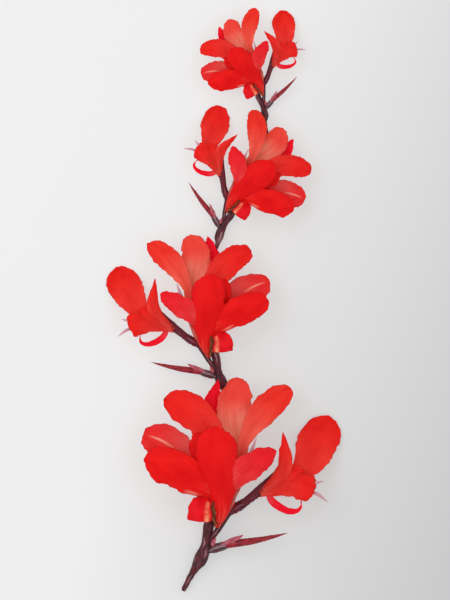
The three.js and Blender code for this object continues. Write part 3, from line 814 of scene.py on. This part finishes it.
def stalk_tree():
    """Sweeps a round section along a string of points, each with its `thickness`."""
    tree = new_tree("stalk", STALK_INPUTS)
    given = tree.nodes.new("NodeGroupInput").outputs
    line = add(tree, "GeometryNodeMeshToCurve", [given["Geometry"]])
    curved = add(tree, "GeometryNodeCurveSplineType", {"Curve": line}, spline_type="CATMULL_ROM")
    even = add(tree, "GeometryNodeResampleCurve", {"Curve": curved}, mode="LENGTH")
    length = next(i for i in even.inputs if i.name == "Length" and i.enabled)
    tree.links.new(given["Step"], length)
    ring = add(tree, "GeometryNodeCurvePrimitiveCircle", {"Resolution": given["Sides"], "Radius": 1.0})
    run = add(tree, "GeometryNodeSplineParameter")
    store = "GeometryNodeStoreNamedAttribute"
    path = add(tree, store, {"Geometry": even, "Name": "run"}, domain="POINT")
    tree.links.new(run.outputs["Length"], next(i for i in path.inputs if i.name == "Value" and i.enabled))
    circle = add(tree, store, {"Geometry": ring, "Name": "turn"}, domain="POINT")
    tree.links.new(run.outputs["Factor"], next(i for i in circle.inputs if i.name == "Value" and i.enabled))
    thick = add(tree, "GeometryNodeInputNamedAttribute", {"Name": "thickness"}, data_type="FLOAT")
    swept = add(
        tree,
        "GeometryNodeCurveToMesh",
        {"Curve": path, "Profile Curve": circle, "Scale": thick, "Fill Caps": True},
    )
    along = add(tree, "GeometryNodeInputNamedAttribute", {"Name": "run"}, data_type="FLOAT")
    around = add(tree, "GeometryNodeInputNamedAttribute", {"Name": "turn"}, data_type="FLOAT")
    uv = add(tree, "ShaderNodeCombineXYZ", [around, along, 0])
    mapped = add(
        tree,
        "GeometryNodeStoreNamedAttribute",
        {"Geometry": swept, "Name": "UVMap"},
        data_type="FLOAT2",
        domain="CORNER",
    )
    tree.links.new(uv.outputs[0], next(i for i in mapped.inputs if i.name == "Value" and i.enabled))
    where = add(tree, "GeometryNodeInputPosition")
    long_way = add(tree, "ShaderNodeVectorMath", [where, (1.0, 0.5, 1.0)], operation="MULTIPLY")
    noise = add(tree, "ShaderNodeTexNoise", {"Vector": long_way, "Scale": 0.7, "Detail": 3.0})
    bumpy = add(tree, "ShaderNodeMapRange", [noise, 0.3, 0.7, -1, 1], clamp=False)
    height = add(tree, "ShaderNodeMath", [bumpy, given["Ribs"]], operation="MULTIPLY")
    normal = add(tree, "GeometryNodeInputNormal")
    offset = add(tree, "ShaderNodeVectorMath", {0: normal, "Scale": height}, operation="SCALE")
    moved = add(tree, "ShaderNodeVectorMath", [where, offset], operation="ADD")
    parts = add(tree, "ShaderNodeSeparateXYZ", [moved])
    pressed = add(tree, "ShaderNodeMath", [parts.outputs[2], 0.0], operation="MAXIMUM")
    spot = add(tree, "ShaderNodeCombineXYZ", [parts.outputs[0], parts.outputs[1], pressed])
    laid = add(tree, "GeometryNodeSetPosition", {"Geometry": mapped, "Position": spot})
    # Warts: small blunt bumps, strewn over the skin and half sunk in it.
    points = add(
        tree,
        "GeometryNodeDistributePointsOnFaces",
        {"Mesh": laid, "Density": given["Warts"], "Seed": 4},
    )
    bump = add(tree, "GeometryNodeMeshIcoSphere", {"Radius": given["Wart Size"], "Subdivisions": 2})
    sizes = add(tree, "FunctionNodeRandomValue", {"Min": 0.6, "Max": 1.2, "Seed": 9}, data_type="FLOAT")
    strewn = add(
        tree,
        "GeometryNodeInstanceOnPoints",
        {"Points": points, "Instance": bump.outputs["Mesh"], "Scale": sizes.outputs["Value"]},
    )
    both = add(tree, "GeometryNodeJoinGeometry")
    tree.links.new(strewn.outputs[0], both.inputs[0])
    tree.links.new(laid.outputs[0], both.inputs[0])
    real = add(tree, "GeometryNodeRealizeInstances", [both])
    smooth = add(tree, "GeometryNodeSetShadeSmooth", {"Geometry": real})
    painted = add(tree, "GeometryNodeSetMaterial", {"Geometry": smooth, "Material": given["Material"]})
    add(tree, "NodeGroupOutput", [painted])
    return tree


STALK_TREE = stalk_tree()


def stalk(name, stations, matrix, finish, step=0.8, sides=24, ribs=0.12, warts=0.0):
    """A stalk through stations of (x, y, z, radius), in the frame that `matrix` carries to the row."""
    line = bpy.data.meshes.new(name + "_line")
    line.from_pydata([s[:3] for s in stations], [(i, i + 1) for i in range(len(stations) - 1)], [])
    thickness = line.attributes.new("thickness", "FLOAT", "POINT")
    thickness.data.foreach_set("value", [s[3] for s in stations])
    values = {"Step": step, "Sides": sides, "Ribs": ribs, "Warts": warts, "Material": MATERIALS[finish]}
    return grow(name, STALK_TREE, values, matrix, carrier=line)


# %% The rachis, from the cut end to the last flower
RACHIS = [
    (-12.4, -20, 3.6, 1.5),
    (-8.8, -11.4, 3, 1.55),
    (-7.6, -9.2, 3, 2.1),
    (-5.5, -5.8, 3.2, 3.25),
    (-3.7, -2, 3.6, 3.2),
    (-2.3, 2.6, 4, 2.4),
    (-1.5, 8, 4.4, 2.5),
    (-0.7, 13, 4.8, 2.6),
    (2, 22, 5, 1.8),
]
CUT_END = [(-13.6, -20.6, 1.5, 0.9), (-12.8, -18.8, 1.7, 1.3), (-9.6, -12.8, 2.3, 1.55)]


def between(before, last, first, after):
    """Stations that carry the stem smoothly from `last` to `first`, along the ways it leaves and comes."""
    p0, p3 = Vector(last[:3]), Vector(first[:3])
    reach = (p3 - p0).length / 3
    p1 = p0 + (p0 - Vector(before[:3])).normalized() * reach
    p2 = p3 - (Vector(after[:3]) - p3).normalized() * reach
    steps = max(2, round(reach * 3 / 5))
    made = []
    for i in range(1, steps):
        t = i / steps
        spot = p0 * (1 - t) ** 3 + p1 * 3 * t * (1 - t) ** 2 + p2 * 3 * t**2 * (1 - t) + p3 * t**3
        made.append((*spot, last[3] * (1 - t) + first[3] * t))
    return made


stations = []
for index in range(len(GROUPS)):
    size = SHRINK**index
    local = CUT_END + RACHIS[2:] if index == 0 else list(RACHIS)
    if index == len(GROUPS) - 1:
        local[-1] = (1.6, 15, 6.5, 1.2)
    to_row = Matrix.Scale(1 / MM, 4) @ group_matrix(index)
    own = [(*(to_row @ Vector((x, y, z))), radius * size) for x, y, z, radius in local]
    if stations:
        stations += between(*stations[-2:], *own[:2])
    stations += own
rachis = stalk("rachis", stations, Matrix.Scale(MM, 4), "stem", ribs=0.22)
stand_in(rachis, "stem_maroon", "stem")
print("rachis:", len(stations), "stations,", len(rachis.data.polygons), "faces")

# %% Side stalks, ovaries, bracts and buds
SIDE_STALK = [
    (-1, 4, 4.4, 1.2),
    (3.4, 9.6, 6, 1.5),
    (7.6, 16, 6.5, 1.5),
    (9.2, 18.6, 6.8, 1.7),
]
SIDE_OVARY = [
    (8.8, 18, 6.7, 1.3),
    (10.4, 19.8, 6.9, 2.3),
    (13.4, 21.4, 7.1, 2.5),
    (17, 23.6, 7.5, 2.1),
    (20.5, 25.8, 8, 1.7),
    (24.4, 28.2, 8.6, 1.4),
]
BUD_OVARY = [
    (-1.4, 0, 4.2, 1.3),
    (0.9, 0.4, 4.8, 2.1),
    (3.4, 1.1, 5.4, 2.25),
    (6.6, 2, 6, 1.95),
    (9.6, 2.8, 6.4, 1.5),
]
BUD = [
    (6, 1.9, 6, 1.4),
    (9, 2.6, 6.4, 1.8),
    (14, 3.5, 6.8, 1.9),
    (20, 4.3, 7, 1.75),
    (26.5, 5.5, 6.8, 1.3),
    (33, 7, 6.4, 0.75),
    (38.6, 8.5, 6, 0.1),
]
BRACTS = {
    "upper_bract": {
        "spine": [(12.5, 20.5, 9), (19.2, 26.4, 9.8), (26.2, 33, 11), (33, 40.4, 12)],
        "width": 3.2, "claw": 2.8, "widest": 0.25, "tip": 1.0, "cup": (-90, -60), "finish": "bract",
        "ruffle": 0.2, "ragged": 0.5, "columns": 17, "thickness": 0.6,
    },
    "bud_sepal": {
        "spine": [(5, 2.2, 7.6), (9, 4, 8.4), (12.6, 5.6, 8.8), (16.4, 7.4, 8.6)],
        "width": 2.8, "claw": 1.6, "widest": 0.4, "tip": 0.9, "cup": (-80, -60), "finish": "blush",
        "ruffle": 0.2, "ragged": 0.8, "columns": 17,
    },
    "small_bract": {
        "spine": [(0.8, 1.6, 6.4), (1.3, 3.1, 7.4), (1.9, 4.6, 7.8), (2.6, 6.1, 7.4)],
        "width": 2.4, "claw": 2, "widest": 0.4, "tip": 0.9, "cup": (-80, -60), "finish": "blush",
        "ruffle": 0.1, "ragged": 0.5, "rows": 24, "columns": 13,
    },
}
STYLES = {
    "side_style_upper": [(47, 32, 14, 0.8), (51.6, 33.4, 14.5, 0.9), (56.6, 34.6, 14, 0.12)],
    "side_style_lower": [(48.5, 29.6, 14, 0.8), (53.6, 27.8, 14.6, 0.9), (58.5, 24, 14, 0.12)],
    "open_style": [(17.5, 44, 21, 0.7), (20.6, 50.4, 22, 0.9), (22.9, 56.3, 22, 0.15)],
}
for index in range(len(GROUPS)):
    matrix = group_matrix(index)
    label = f"cluster{index + 1}"
    stand_in(stalk(f"{label}_side_stalk", SIDE_STALK, matrix, "stem", step=0.6), "stem_maroon")
    stand_in(stalk(f"{label}_side_ovary", SIDE_OVARY, matrix, "bract", step=0.5, warts=0.5), "stem_maroon")
    stand_in(stalk(f"{label}_bud_ovary", BUD_OVARY, matrix, "ovary", step=0.5, warts=0.9), "stem_maroon")
    bud = stalk(f"{label}_bud_skin", BUD, matrix, "bud", step=0.6, ribs=0.1)
    stand_in(bud, "bud_maroon", f"{label}_bud")
    for part, shape in BRACTS.items():
        stand_in(petal(f"{label}_{part}", shape, matrix, seed=index), SLOTS[shape["finish"]])
    for part, tips in STYLES.items():
        piece = stalk(f"{label}_{part}", tips, matrix, "lilac", step=0.5, sides=10, ribs=0.0)
        stand_in(piece, SLOTS["lilac"])
